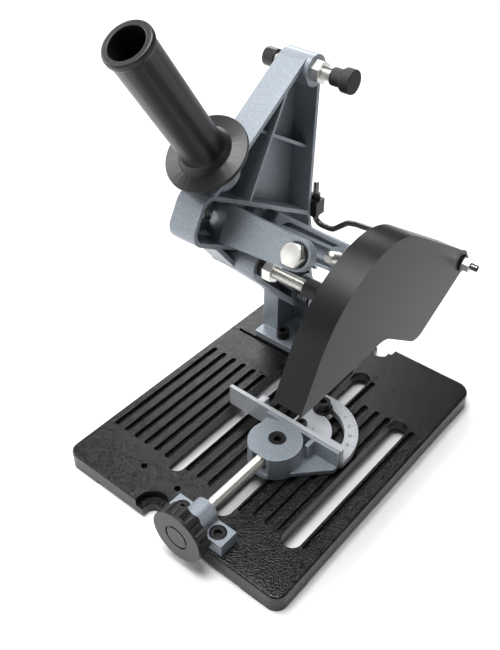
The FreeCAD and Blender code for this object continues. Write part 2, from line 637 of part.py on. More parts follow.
px, py = FENCE_PIVOT
fence_y1 = FENCE_Y + FENCE_T
fence = block(70, 191, FENCE_Y, fence_y1, 0.0, FENCE_TOP)
quadrant = rod((px, py, 0), (0, 0, 1), 49.7, 7.5)
keep = prism_z([(px - 12, FENCE_Y + 1, 0), (px - 12, py + 60, 0), (px + 60, py + 60, 0),
                (px + 60, FENCE_Y + 1, 0)], 0, 7.5)
quadrant = quadrant.common(keep)
arc_outer = rod((px, py, -1), (0, 0, 1), 38, 20)
arc_inner = rod((px, py, -1), (0, 0, 1), 27, 20)
window = arc_outer.cut(arc_inner).common(prism_z(
    [(px - 6, py + 18, 0), (px - 6, py + 60, 0), (px + 60, py + 60, 0), (px + 60, py + 8, 0),
     (px + 20, py + 8, 0)], -1, 19))
quadrant = quadrant.cut(window)
pad = rod((px, py, 0), (0, 0, 1), 10, 12).cut(block(100, 180, 100, FENCE_Y + 1, -1, 20))
web = join([block(90, px, fence_y1 - 1, fence_y1 + 9, 0, 5),
            block(98, 104.5, fence_y1 - 1, fence_y1 + 10, 0, 18)])
low_rib = block(px - 5, px + 46, fence_y1 - 1, fence_y1 + 3.5, 0, 11.5)
fence = join([fence, quadrant, pad, web, low_rib])
fence = fence.cut(rod((px, py, -1), (0, 0, 1), 3.2, 30))
fence = fence.cut(rod((px, py, 12), (0, 0, 1), 5.3, 12))
save("fence", fence)

lock = (px, py + 32.5)
save("fence_pivot_screw", socket_screw((px, py, 12), (0, 0, -1), 3.0, 26, 5.2, 5, 5))
save("fence_lock_screw", socket_screw((lock[0], lock[1], 9.1), (0, 0, -1), 4.0, 23.1, 6.5, 8, 6))
save("fence_lock_washer", washer((lock[0], lock[1], 7.5), (0, 0, 1), 9.0, 4.1, 1.6))
plates = []
for y, r in ((py, 3.05), (lock[1], 4.05)):
    t_nut = block(px - 13, px + 13, y - 7, y + 7, -14, -RIM_DEPTH)
    plates.append(t_nut.cut(rod((px, y, -16), (0, 0, 1), r, 10)))
save("fence_nuts", Part.makeCompound(plates))
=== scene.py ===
# %% [markdown]
# # Cut-off stand for a hand-held angle grinder
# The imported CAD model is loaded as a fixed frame: its nodes are never moved or edited.
# This lesson gives every casting a rolled, moulded edge, cuts real threads and winds a
# torsion spring with Geometry Nodes, marks the angle scale, and mixes each paint and
# plating from procedural nodes.

# %% Load the frame
import json
import math

import bmesh
import bpy
from mathutils import Matrix, Vector


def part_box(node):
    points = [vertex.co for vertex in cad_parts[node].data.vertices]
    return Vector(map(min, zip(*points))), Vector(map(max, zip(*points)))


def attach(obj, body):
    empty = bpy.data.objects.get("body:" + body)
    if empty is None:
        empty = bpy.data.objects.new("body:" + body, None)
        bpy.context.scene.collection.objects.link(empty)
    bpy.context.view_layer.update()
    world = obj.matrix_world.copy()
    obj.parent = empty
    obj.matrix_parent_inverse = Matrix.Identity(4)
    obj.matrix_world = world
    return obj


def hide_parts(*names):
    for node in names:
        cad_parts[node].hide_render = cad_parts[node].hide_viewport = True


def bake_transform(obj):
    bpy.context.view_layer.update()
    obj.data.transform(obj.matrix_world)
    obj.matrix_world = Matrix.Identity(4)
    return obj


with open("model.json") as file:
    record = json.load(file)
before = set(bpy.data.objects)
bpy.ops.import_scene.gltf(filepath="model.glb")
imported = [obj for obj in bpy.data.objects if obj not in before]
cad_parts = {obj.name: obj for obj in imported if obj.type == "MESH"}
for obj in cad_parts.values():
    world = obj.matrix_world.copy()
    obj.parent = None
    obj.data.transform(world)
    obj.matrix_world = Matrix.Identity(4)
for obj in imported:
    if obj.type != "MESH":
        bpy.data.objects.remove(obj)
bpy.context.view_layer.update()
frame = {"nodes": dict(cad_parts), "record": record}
record = frame["record"]
body_of = {node: body for body, nodes in record["behaviour"]["bodies"].items() for node in nodes}
slot_of = {part["node"]: part["material_slot"] for part in record["subparts"]}
MM = 0.001

# %% [markdown]
# A node tree is easier to read as an expression than as a list of links. `Value` wraps
# one socket, and Python's operators on it add Math nodes. `Tree.add` makes any other
# node: its settings first, then the values or links of its sockets. The same two
# classes serve shaders and Geometry Nodes.

# %% Sockets that do maths
class Value:
    def __init__(self, tree, socket):
        self.tree = tree
        self.socket = socket

    def math(self, operation, *operands):
        return self.tree.add("ShaderNodeMath", {"operation": operation}, dict(enumerate(operands)))

    def __add__(self, other):
        return self.math("ADD", self, other)

    def __sub__(self, other):
        return self.math("SUBTRACT", self, other)

    def __mul__(self, other):
        return self.math("MULTIPLY", self, other)

    def __truediv__(self, other):
        return self.math("DIVIDE", self, other)

    def __rsub__(self, other):
        return self.math("SUBTRACT", other, self)

    __radd__ = __add__
    __rmul__ = __mul__

    def of(self, operation, other=0.0):
        return self.math(operation, self, other)

    def clamp(self, low=0.0, high=1.0):
        return self.of("MAXIMUM", low).of("MINIMUM", high)

    def between(self, low, high):
        """0 below low, 1 above high, smooth in the middle."""
        settings = {"interpolation_type": "SMOOTHSTEP"}
        inputs = {"Value": self, "From Min": low, "From Max": high}
        return self.tree.add("ShaderNodeMapRange", settings, inputs)


class Tree:
    def __init__(self, owner):
        self.nodes = owner.nodes
        self.links = owner.links

    def add(self, kind, settings=None, inputs=None, out=0):
        node = self.nodes.new(kind)
        for key, setting in (settings or {}).items():
            setattr(node, key, setting)
        for key, value in (inputs or {}).items():
            if isinstance(value, Value):
                self.links.new(value.socket, node.inputs[key])
            else:
                node.inputs[key].default_value = value
        return Value(self, node.outputs[out])


# %% [markdown]
# The camera stands in front of the right-hand corner and looks down about 39 degrees.
# Its lens is close to a normal one, so the plate's edges converge gently.

# %% Camera
LENS = 46.065
STANDS_AT = (0.31376, -0.41544, 0.55018)
TILT = math.radians(50.648)
TURN = math.radians(39.807)

camera_data = bpy.data.cameras.new("camera")
camera_data.sensor_width = 36.0
camera_data.lens = LENS
camera_data.clip_start = 0.01
camera = bpy.data.objects.new("camera", camera_data)
camera.location = STANDS_AT
camera.rotation_euler = (TILT, 0.0, TURN)
bpy.context.scene.collection.objects.link(camera)
bpy.context.scene.camera = camera
print("camera at", tuple(camera.location))

# %% [markdown]
# Black paint and zinc need something bright to mirror and something dark to hold their
# shape. So the world is a plain grey, and a few large soft boxes do the lighting: one
# overhead, one low at the back left whose glare lies across the rear of the plate, one at
# the front left for the bolt heads and bracket faces, and two weaker ones at the sides
# that draw the edges of the handle.

# %% Floor, world and lights
def soft_box(name, place, aim, width, height, power):
    data = bpy.data.lights.new(name, "AREA")
    data.shape = "RECTANGLE"
    data.size = width
    data.size_y = height
    data.energy = power
    lamp = bpy.data.objects.new(name, data)
    lamp.location = place
    lamp.rotation_euler = (Vector(aim) - Vector(place)).to_track_quat("-Z", "Y").to_euler()
    bpy.context.scene.collection.objects.link(lamp)


soft_box("overhead", (-0.15, -0.15, 1.6), (0.0, 0.0, 0.1), 0.9, 0.9, 30.0)
soft_box("back_left", (-1.1, 1.25, 1.1), (0.0, 0.1, 0.05), 0.8, 0.6, 12.0)
soft_box("front_left", (-0.9, -1.6, 0.6), (0.0, 0.0, 0.1), 1.1, 0.9, 5.0)
soft_box("left_panel", (-1.3, -0.35, 0.75), (0.0, 0.0, 0.15), 0.8, 1.0, 14.0)
soft_box("right_panel", (1.4, 0.5, 0.8), (0.0, 0.0, 0.15), 0.6, 0.9, 1.5)

world = bpy.data.worlds.new("studio")
bpy.context.scene.world = world
world.use_nodes = True
world.node_tree.nodes["Background"].inputs["Color"].default_value = (1.0, 1.0, 1.0, 1.0)
world.node_tree.nodes["Background"].inputs["Strength"].default_value = 0.12
bpy.context.scene.view_settings.view_transform = "Standard"


# %% [markdown]
# Every finish starts from the same few helpers: the object's own coordinates, a noise
# on them, a blend of two colours, and a Principled shader whose even values sit on its
# own sockets. The castings' rolled edges carry a number called `rolled`, which lets a
# paint wear thin exactly there; on the hammer paint and the guard the pale edge is also a
# painted highlight.

# %% Material helpers
def new_finish(name, **even):
    material = bpy.data.materials.new(name)
    material.use_nodes = True
    tree = Tree(material.node_tree)
    shader = material.node_tree.nodes["Principled BSDF"]
    for key, value in even.items():
        shader.inputs[key.replace("_", " ")].default_value = value
    return material, tree, shader


def here(tree):
    return tree.add("ShaderNodeTexCoord", {}, {}, 3)


def noise(tree, scale, detail=2.0, rough=0.5):
    inputs = {"Vector": here(tree), "Scale": scale, "Detail": detail, "Roughness": rough}
    return tree.add("ShaderNodeTexNoise", {}, inputs)


def cells(tree, scale, soft=0.7):
    inputs = {"Vector": here(tree), "Scale": scale, "Smoothness": soft}
    return tree.add("ShaderNodeTexVoronoi", {"feature": "SMOOTH_F1"}, inputs)


def rolled_edge(tree):
    return tree.add("ShaderNodeAttribute", {"attribute_name": "rolled"}, {}, 2)


def two_colours(tree, mask, first, second):
    if not isinstance(first, Value):
        first = (*first, 1.0)
    return tree.add("ShaderNodeMix", {"data_type": "RGBA"}, {0: mask, 6: first, 7: (*second, 1.0)}, 2)


def wire_up(tree, shader, colour, rough, height, depth, strength=1.0):
    tree.links.new(colour.socket, shader.inputs["Base Color"])
    tree.links.new(rough.socket, shader.inputs["Roughness"])
    bump = tree.add("ShaderNodeBump", {}, {"Height": height, "Distance": depth, "Strength": strength})
    tree.links.new(bump.socket, shader.inputs["Normal"])


def floor_paper():
    material, tree, shader = new_finish("floor_paper")
    grain = noise(tree, 40.0)
    colour = two_colours(tree, grain, (0.94, 0.94, 0.945), (0.97, 0.97, 0.97))
    wire_up(tree, shader, colour, 0.6 + grain * 0.05, grain, 0.00001)
    return material


reach = 3.0
floor_mesh = bpy.data.meshes.new("floor")
floor_corners = [(-reach, -reach, 0), (reach, -reach, 0), (reach, reach, 0), (-reach, reach, 0)]
floor_mesh.from_pydata(floor_corners, [], [(0, 1, 2, 3)])
floor_mesh.materials.append(floor_paper())
floor = bpy.data.objects.new("floor", floor_mesh)
bpy.context.scene.collection.objects.link(floor)

# %% [markdown]
# The base is cast iron under thick glossy black paint that wrinkles as it dries. Real
# wrinkle paint is a field of small rounded lumps, so one noise makes the lumps, a wider
# one makes their size drift, and the gloss stays high so that each lump catches light.

# %% Black wrinkle paint
def wrinkle_paint():
    material, tree, shader = new_finish("wrinkle_paint", IOR=1.4)
    lumps = noise(tree, 640.0, 2.0, 0.5)
    swell = noise(tree, 150.0)
    relief = lumps.between(0.36, 0.66) * (0.5 + swell)
    colour = two_colours(tree, swell, (0.0025, 0.0025, 0.003), (0.006, 0.006, 0.0065))
    wire_up(tree, shader, colour, 0.16 + lumps * 0.10, relief, 0.00022, 0.7)
    return material


# %% [markdown]
# The arm, post, fork brackets and jaw are aluminium castings under blue-grey hammer
# paint: metal flakes in a lacquer that pulls into shallow dimples. Smooth cells make
# the dimples, a wide noise makes patches, and the rolled edges are painted pale, partly
# as thin, worn paint and partly as a painted highlight.

# %% Blue-grey hammer paint and the pale casting of the fence
def hammer_paint():
    material, tree, shader = new_finish("hammer_paint", IOR=1.5, Metallic=0.35)
    dimple = cells(tree, 780.0).between(0.08, 0.7)
    drift = noise(tree, 30.0)
    flakes = noise(tree, 1900.0, 1.0)
    mask = (dimple * 0.45 + drift * 0.35 + flakes * 0.25).clamp()
    paint = two_colours(tree, mask, (0.175, 0.200, 0.230), (0.320, 0.355, 0.395))
    # Pale rolled edges: partly edge wear, partly a painted highlight along the edges.
    edge_wear_and_highlight = rolled_edge(tree) * noise(tree, 210.0, 3.0).between(0.28, 0.56) * 0.85
    colour = two_colours(tree, edge_wear_and_highlight, paint, (0.70, 0.73, 0.77))
    wire_up(tree, shader, colour, 0.34 + flakes * 0.12, dimple, 0.00009, 0.5)
    return material


def pale_casting():
    material, tree, shader = new_finish("pale_casting", IOR=1.5, Metallic=0.3)
    grain = noise(tree, 900.0)
    drift = noise(tree, 45.0)
    paint = two_colours(tree, drift, (0.36, 0.375, 0.40), (0.55, 0.57, 0.60))
    edge_wear_and_highlight = (rolled_edge(tree) * 0.8 * noise(tree, 160.0, 3.0).between(0.25, 0.5)).clamp()
    colour = two_colours(tree, edge_wear_and_highlight, paint, (0.82, 0.83, 0.84))
    wire_up(tree, shader, colour, 0.36 + grain * 0.14, grain, 0.00006, 0.4)
    return material


# %% [markdown]
# The guard is sheet steel with a satin powder coat, which has a very fine even
# orange-peel and is painted lighter along its rim, partly as scuffs and partly as a
# painted highlight. The grip, the knob and the screw knobs are moulded plastic with a
# soft sheen, and the two feet are dull rubber with a little bloom.

# %% Powder coat, plastic and rubber
def powder_coat():
    material, tree, shader = new_finish("powder_coat", IOR=1.32)
    grain = noise(tree, 1500.0)
    drift = noise(tree, 16.0)
    paint = two_colours(tree, drift, (0.006, 0.006, 0.0065), (0.010, 0.010, 0.011))
    # Lighter rim: partly scuffed powder coat, partly a painted highlight along the edge.
    edge_wear_and_highlight = rolled_edge(tree) * noise(tree, 120.0, 3.0).between(0.3, 0.6) * 0.6
    colour = two_colours(tree, edge_wear_and_highlight, paint, (0.20, 0.20, 0.21))
    wire_up(tree, shader, colour, 0.30 + grain * 0.08, grain, 0.00004, 0.3)
    return material


def moulded_plastic():
    material, tree, shader = new_finish("moulded_plastic", IOR=1.46)
    grain = noise(tree, 1300.0)
    drift = noise(tree, 26.0)
    colour = two_colours(tree, drift, (0.007, 0.007, 0.0078), (0.012, 0.012, 0.013))
    wire_up(tree, shader, colour, 0.30 + drift * 0.12, grain, 0.00005, 0.3)
    return material


def soft_rubber():
    material, tree, shader = new_finish("soft_rubber", IOR=1.5)
    grain = noise(tree, 2200.0)
    bloom = noise(tree, 120.0, 3.0)
    colour = two_colours(tree, bloom, (0.008, 0.008, 0.008), (0.022, 0.021, 0.020))
    wire_up(tree, shader, colour, 0.55 + grain * 0.15, grain, 0.00006, 0.4)
    return material


# %% [markdown]
# Bolts and screws are zinc plated, which is bright with a faint warm haze. Socket
# screws and washers are blackened, and the bent guard rod and the spring are oiled
# spring steel. All three are metals whose only drama is a smeared roughness.

# %% Metals
def metal(name, metallic, dark, light, rough, spread, scale):
    material, tree, shader = new_finish(name, Metallic=metallic)
    smear = noise(tree, scale, 3.0)
    colour = two_colours(tree, smear, dark, light)
    wire_up(tree, shader, colour, rough + smear * spread, smear, 0.00001, 0.1)
    return material


finishes = {
    "black_base_paint": wrinkle_paint(),
    "grey_hammer_paint": hammer_paint(),
    "bare_casting": pale_casting(),
    "guard_paint": powder_coat(),
    "black_plastic": moulded_plastic(),
    "black_rubber": soft_rubber(),
    "zinc_plate": metal("bright_zinc", 1.0, (0.72, 0.71, 0.67), (0.88, 0.87, 0.84), 0.30, 0.14, 160.0),
    "black_oxide": metal("dark_oxide", 0.6, (0.012, 0.012, 0.013), (0.032, 0.032, 0.034), 0.3, 0.15, 300.0),
    "spring_steel": metal("oiled_steel", 1.0, (0.12, 0.125, 0.13), (0.27, 0.275, 0.285), 0.24, 0.16, 220.0),
}
scale_ink = metal("scale_ink", 0.0, (0.02, 0.02, 0.02), (0.07, 0.07, 0.07), 0.5, 0.2, 400.0)
for node, cad_object in frame["nodes"].items():
    cad_object.data.materials.clear()
    cad_object.data.materials.append(finishes[slot_of[node]])
print(len(finishes), "finishes on", len(frame["nodes"]), "nodes")


# %% Finish a piece
def finish_piece(name, mesh, node, material=None, stands_for=True, smooth=32.0, rides=True):
    piece = bpy.data.objects.new(name, mesh)
    bpy.context.scene.collection.objects.link(piece)
    mesh.materials.clear()
    mesh.materials.append(material or finishes[slot_of[node]])
    if smooth:
        mesh.shade_smooth()
        mesh.set_sharp_from_angle(angle=math.radians(smooth))
    if stands_for:
        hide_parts(node)
    if rides:
        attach(piece, body_of[node])
    return piece


def evaluated_mesh(maker):
    """The plain mesh that an object's modifiers make, with the object itself removed."""
    depsgraph = bpy.context.evaluated_depsgraph_get()
    mesh = bpy.data.meshes.new_from_object(maker.evaluated_get(depsgraph))
    bpy.data.objects.remove(maker)
    return mesh


# %% [markdown]
# A casting never has knife edges. The node's loose triangles are copied and merged,
# flat regions are dissolved into single faces, and a Bevel modifier rolls each sharp
# edge. The bevel puts its new faces in a second material slot, which is how the script
# finds them afterwards and writes the `rolled` number for the pale edges: edge wear, and
# on the hammer paint and the guard also a painted highlight.

# %% Rolled edges
CORNER = math.radians(19.0)
FLAT = math.radians(0.6)
SAME_POINT = 0.002 * MM


def copied_solid(node):
    bm = bmesh.new()
    bm.from_mesh(frame["nodes"][node].data)
    bmesh.ops.remove_doubles(bm, verts=bm.verts, dist=SAME_POINT)
    bmesh.ops.dissolve_limit(bm, angle_limit=FLAT, verts=bm.verts, edges=bm.edges)
    return bm


def rolled_mesh(node, width, segments=2, bm=None):
    bm = bm or copied_solid(node)
    mesh = bpy.data.meshes.new(node + "_copy")
    bm.to_mesh(mesh)
    bm.free()
    for face in mesh.polygons:
        face.material_index = 0
    maker = bpy.data.objects.new("maker", mesh)
    bpy.context.scene.collection.objects.link(maker)
    mesh.materials.append(finishes[slot_of[node]])
    mesh.materials.append(finishes[slot_of[node]])
    mesh.shade_smooth()
    mesh.set_sharp_from_angle(angle=CORNER)
    bevel = maker.modifiers.new("rolled edge", "BEVEL")
    bevel.width = width
    bevel.segments = segments
    bevel.limit_method = "ANGLE"
    bevel.angle_limit = CORNER
    bevel.material = 1
    bevel.harden_normals = True
    made = evaluated_mesh(maker)
    rolled = made.attributes.new("rolled", "FLOAT", "FACE")
    for face in made.polygons:
        rolled.data[face.index].value = float(face.material_index)
        face.material_index = 0
    return made


CAST_EDGES = {
    "arm_casting": 0.7, "post": 0.9, "front_bracket": 0.6, "rear_bracket": 0.6, "moving_jaw": 0.7,
    "nut_block": 0.7, "fence": 0.55, "base_plate": 0.8, "guard": 0.3, "handle_grip": 0.7,
    "knob": 0.8, "top_foot": 0.7, "lower_cap": 0.6, "rod_clamp": 0.6, "top_screw_knob": 0.8,
    "lower_screw_knob": 0.8,
}
for node, width in CAST_EDGES.items():
    piece = finish_piece(node + "_cast", rolled_mesh(node, width * MM), node, smooth=None)
    print(piece.name, len(piece.data.polygons), "faces")

# %% [markdown]
# Nuts, washers and cap screws are cold formed and turned, so their corners are crisper:
# a tenth or two of a millimetre. One loop over every small steel node does them all.

# %% Small steel parts
CRISP = 0.18 * MM
LONG_SCREWS = {"top_screw": 0, "lower_screw": 0, "lead_screw": 1}
HEX_BOLTS = ("front_grip_bolt", "rear_grip_bolt", "front_clamp_bolt", "rear_clamp_bolt", "pivot_bolt")
shaped_elsewhere = {*CAST_EDGES, *LONG_SCREWS, *HEX_BOLTS}
steel = {node for node in body_of if slot_of[node] in ("zinc_plate", "black_oxide")}
turned = sorted(steel - shaped_elsewhere)
for node in turned:
    finish_piece(node + "_turned", rolled_mesh(node, CRISP, 1), node, smooth=None)
print(len(turned), "turned parts")


# %% [markdown]
# The long screws, the hex bolts and both ends of the guard rod get a real rolled
# thread. A thread is a cylinder whose radius rises and falls with height and turns with
# the angle, so one Geometry Nodes tree bends a flat grid round an axis: across the grid
# is the angle, up the grid is the length, and a triangle wave of their sum is the
# thread. The first and last rows close the ends.

# %% Geometry Nodes helpers
def new_node_group(name, inputs):
    group = bpy.data.node_groups.new(name, "GeometryNodeTree")
    group.interface.new_socket("Geometry", in_out="INPUT", socket_type="NodeSocketGeometry")
    kinds = {float: "NodeSocketFloat", int: "NodeSocketInt", "material": "NodeSocketMaterial"}
    for label, kind in inputs.items():
        group.interface.new_socket(label, in_out="INPUT", socket_type=kinds[kind])
    group.interface.new_socket("Geometry", in_out="OUTPUT", socket_type="NodeSocketGeometry")
    tree = Tree(group)
    entry = group.nodes.new("NodeGroupInput")
    given = {socket.name: Value(tree, socket) for socket in entry.outputs if socket.name}
    return group, tree, given


def close_group(group, tree, geometry, material):
    real = tree.add("GeometryNodeRealizeInstances", {}, {0: geometry})
    painted = tree.add("GeometryNodeSetMaterial", {}, {"Geometry": real, "Material": material})
    leave = group.nodes.new("NodeGroupOutput")
    tree.links.new(painted.socket, leave.inputs[0])


def grown(group, sizes, points=(), edges=()):
    """Runs a tree on a small seed mesh and returns the plain mesh it grows."""
    seed = bpy.data.meshes.new("seed")
    seed.from_pydata([Vector(p) for p in points], list(edges), [])
    maker = bpy.data.objects.new("maker", seed)
    bpy.context.scene.collection.objects.link(maker)
    modifier = maker.modifiers.new("grow", "NODES")
    modifier.node_group = group
    for item in group.interface.items_tree:
        if item.in_out == "INPUT" and item.name in sizes:
            modifier[item.identifier] = sizes[item.name]
    return evaluated_mesh(maker)


# %% The thread tree
def thread_tree():
    inputs = {"Radius": float, "Depth": float, "Pitch": float, "Length": float, "Around": int,
              "Rows": int, "Material": "material"}
    group, tree, given = new_node_group("thread", inputs)
    rows = given["Rows"]
    grid = tree.add("GeometryNodeMeshGrid", {}, {
        "Size X": 1.0, "Size Y": 1.0, "Vertices X": given["Around"] + 1.0, "Vertices Y": rows + 1.0})
    flat = tree.add("GeometryNodeInputPosition")
    split = tree.add("ShaderNodeSeparateXYZ", {}, {0: flat})
    turn = split + 0.5
    row = (Value(tree, split.socket.node.outputs[1]) + 0.5) * rows
    height = ((row - 1.0) / (rows - 2.0)).clamp() * given["Length"]
    wave = (height / given["Pitch"] - turn).of("FRACT")
    ridge = (1.0 - (wave * 2.0 - 1.0).of("ABSOLUTE") - 0.12) / 0.7
    to_end = height.math("MINIMUM", height, given["Length"] - height)
    start = (to_end / given["Pitch"]).clamp()
    radius = given["Radius"] - given["Depth"] * (1.0 - ridge.clamp() * start)
    inside = row.of("GREATER_THAN", 0.5) * (rows - row).of("GREATER_THAN", 0.5)
    radius = radius * inside
    angle = turn * (2.0 * math.pi)
    place = tree.add("ShaderNodeCombineXYZ", {}, {
        0: radius * angle.of("COSINE"), 1: radius * angle.of("SINE"), 2: height})
    bent = tree.add("GeometryNodeSetPosition", {}, {"Geometry": grid, "Position": place})
    closed = tree.add("GeometryNodeMergeByDistance", {}, {"Geometry": bent, "Distance": 1e-6})
    close_group(group, tree, closed, given["Material"])
    return group


THREAD = thread_tree()
ROWS_PER_TURN = 7
SIDES = 28
SOFT_CORNER = 60.0


def thread_mesh(node, foot, axis, length, radius, pitch, depth):
    """A threaded rod from foot along axis, in the finish of that node."""
    sizes = {"Radius": radius, "Depth": depth, "Pitch": pitch, "Length": length, "Around": SIDES,
             "Rows": 2 + round(length / pitch * ROWS_PER_TURN), "Material": finishes[slot_of[node]]}
    mesh = grown(THREAD, sizes)
    turn = Vector(axis).to_track_quat("Z", "Y").to_matrix().to_4x4()
    mesh.transform(Matrix.Translation(foot) @ turn)
    return mesh


def joined(name, meshes):
    bm = bmesh.new()
    for mesh in meshes:
        bm.from_mesh(mesh)
    whole = bpy.data.meshes.new(name)
    bm.to_mesh(whole)
    bm.free()
    return whole


# %% [markdown]
# The two support screws and the vise's lead screw are M10 with a 1.5 mm pitch. Their
# ends and middles come from the boxes of their CAD nodes, so they sit where the CAD
# puts them.

# %% Long screws
LONG_PITCH = 1.5 * MM
LONG_DEPTH = 0.9 * MM


def long_screw(node, axis_index):
    low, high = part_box(node)
    foot = (low + high) / 2
    foot[axis_index] = low[axis_index]
    axis = Vector((0, 0, 0))
    axis[axis_index] = 1.0
    length = high[axis_index] - low[axis_index]
    across = (axis_index + 1) % 3
    radius = (high[across] - low[across]) / 2
    mesh = thread_mesh(node, foot, axis, length, radius, LONG_PITCH, LONG_DEPTH)
    piece = finish_piece(node + "_thread", mesh, node, smooth=SOFT_CORNER)
    print(piece.name, round(length / MM, 1), "mm long,", len(mesh.polygons), "faces")


for node, axis_index in LONG_SCREWS.items():
    long_screw(node, axis_index)

# %% [markdown]
# Hex bolts keep the head that the CAD gives them and get a threaded shank in place of
# the plain one. The head is everything on one side of the seat, so the copy is cut
# there, the cut is capped, and the thread starts at the cut.

# %% Hex bolts
axis_of = {joint["name"]: Vector(joint["axis"]) for joint in record["behaviour"]["joints"]}
fork_axis = axis_of["front_fork_slide"]
along_x = Vector((1.0, 0.0, 0.0))
HEAD_SKIRT = 0.3 * MM
HEAD_EDGE = 0.25 * MM
RIDGE_SHARE = 0.4


def hex_bolt(node, axis, head_height, shank, pitch):
    axis = axis.normalized()
    spots = [vertex.co for vertex in frame["nodes"][node].data.vertices]
    low = min(spot.dot(axis) for spot in spots)
    high = max(spot.dot(axis) for spot in spots)
    middle = sum(((spot - axis * spot.dot(axis)) for spot in spots), Vector()) / len(spots)
    seat = low + head_height
    bm = copied_solid(node)
    everything = bm.verts[:] + bm.edges[:] + bm.faces[:]
    bmesh.ops.bisect_plane(bm, geom=everything, plane_co=middle + axis * (seat + HEAD_SKIRT),
                           plane_no=axis, clear_outer=True)
    bmesh.ops.holes_fill(bm, edges=[edge for edge in bm.edges if edge.is_boundary])
    head = rolled_mesh(node, HEAD_EDGE, 2, bm)
    thread = thread_mesh(node, middle + axis * seat, axis, high - seat, shank, pitch, pitch * RIDGE_SHARE)
    finish_piece(node + "_hex", joined(node + "_hex", [head, thread]), node)
    print(node, "head", round(head_height / MM, 1), "shank", round((high - seat) / MM, 1), "mm")


hex_bolt("front_grip_bolt", fork_axis, 6.4 * MM, 5.0 * MM, 1.5 * MM)
hex_bolt("rear_grip_bolt", -fork_axis, 6.4 * MM, 5.0 * MM, 1.5 * MM)
hex_bolt("front_clamp_bolt", along_x, 5.3 * MM, 3.9 * MM, 1.25 * MM)
hex_bolt("rear_clamp_bolt", along_x, 5.3 * MM, 3.9 * MM, 1.25 * MM)
hex_bolt("pivot_bolt", along_x, 7.5 * MM, 6.0 * MM, 1.75 * MM)


# %% [markdown]
# The guard hangs on one bent rod: up through its clamp on the arm, down, and across in
# a lazy S to the guard. Its tree takes the bend points as a seed line, rounds every
# bend with Fillet Curve, and sweeps a circle along it.

# %% Bent guard rod
def rod_tree():
    inputs = {"Radius": float, "Bend": float, "Around": int, "Material": "material"}
    group, tree, given = new_node_group("bent_rod", inputs)
    line = tree.add("GeometryNodeMeshToCurve", {}, {"Mesh": given["Geometry"]})
    bent = tree.add("GeometryNodeFilletCurve", {"mode": "POLY"}, {
        "Curve": line, "Count": 7, "Radius": given["Bend"], "Limit Radius": True})
    ring = tree.add("GeometryNodeCurvePrimitiveCircle", {}, {
        "Resolution": given["Around"], "Radius": given["Radius"]})
    swept = tree.add("GeometryNodeCurveToMesh", {}, {
        "Curve": bent, "Profile Curve": ring, "Fill Caps": True})
    close_group(group, tree, swept, given["Material"])
    return group


rod_low, rod_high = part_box("guard_rod")
clamp_low, clamp_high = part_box("rod_clamp")
washer_low, washer_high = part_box("guard_washers")
rod_radius = 2.6 * MM
rod_thread = {"radius": rod_radius + 0.05 * MM, "pitch": 0.9 * MM, "depth": 0.3 * MM}
upright = Vector(((clamp_low.x + clamp_high.x) / 2, rod_high.y - rod_radius, rod_high.z))
hang = (washer_low + washer_high) / 2
bottom = rod_low.z + rod_radius
route = [
    upright,
    Vector((upright.x, upright.y, bottom)),
    Vector((upright.x + 20 * MM, upright.y, bottom)),
    Vector((upright.x + 35 * MM, upright.y, bottom + 13 * MM)),
    Vector((upright.x + 43 * MM, upright.y, bottom + 15 * MM)),
    Vector((upright.x + 121 * MM, hang.y, hang.z)),
    Vector((rod_high.x, hang.y, hang.z)),
]
rod_sizes = {"Radius": rod_radius, "Bend": 9 * MM, "Around": 20, "Material": finishes["spring_steel"]}
bar = grown(rod_tree(), rod_sizes, route, [(i, i + 1) for i in range(len(route) - 1)])
top_start = upright + Vector((0, 0, 0.02 * MM))
top_end = thread_mesh("guard_rod", top_start, (0, 0, -1), 34 * MM, **rod_thread)
far_end = thread_mesh("guard_rod", route[-1], (-1, 0, 0), 24 * MM, **rod_thread)
whole_rod = joined("guard_rod_bent", [bar, top_end, far_end])
finish_piece("guard_rod_bent", whole_rod, "guard_rod", smooth=SOFT_CORNER)
print("guard rod", len(route), "bend points")


# %% [markdown]
# A torsion spring round the pivot lifts the arm. One end of its wire lies against the
# arm and the other against the post, so it winds up as the arm comes down.

# %% Return spring
LEG_SHARE = 0.08


def spring_tree():
    inputs = {"Coil Radius": float, "Wire Radius": float, "Width": float, "Turns": float,
              "Leg": float, "Points": int, "Material": "material"}
    group, tree, given = new_node_group("torsion_spring", inputs)
    count = given["Points"]
    line = tree.add("GeometryNodeMeshLine", {}, {"Count": count})
    along = tree.add("GeometryNodeInputIndex") / (count - 1.0)
    wound = ((along - LEG_SHARE) / (1.0 - 2.0 * LEG_SHARE)).clamp()
    angle = wound * given["Turns"] * (2.0 * math.pi)
    first_leg = (LEG_SHARE - along).of("MAXIMUM", 0.0) / LEG_SHARE * given["Leg"]
    last_leg = (along - (1.0 - LEG_SHARE)).of("MAXIMUM", 0.0) / LEG_SHARE * given["Leg"]
    last_angle = given["Turns"] * (2.0 * math.pi)
    y = given["Coil Radius"] * angle.of("COSINE") - last_leg * last_angle.of("SINE")
    z = given["Coil Radius"] * angle.of("SINE") - first_leg + last_leg * last_angle.of("COSINE")
    place = tree.add("ShaderNodeCombineXYZ", {}, {0: wound * given["Width"], 1: y, 2: z})
    wire = tree.add("GeometryNodeSetPosition", {}, {"Geometry": line, "Position": place})
    curve = tree.add("GeometryNodeMeshToCurve", {}, {"Mesh": wire})
    ring = tree.add("GeometryNodeCurvePrimitiveCircle", {}, {
        "Resolution": 12, "Radius": given["Wire Radius"]})
    swept = tree.add("GeometryNodeCurveToMesh", {}, {
        "Curve": curve, "Profile Curve": ring, "Fill Caps": True})
    close_group(group, tree, swept, given["Material"])
    return group


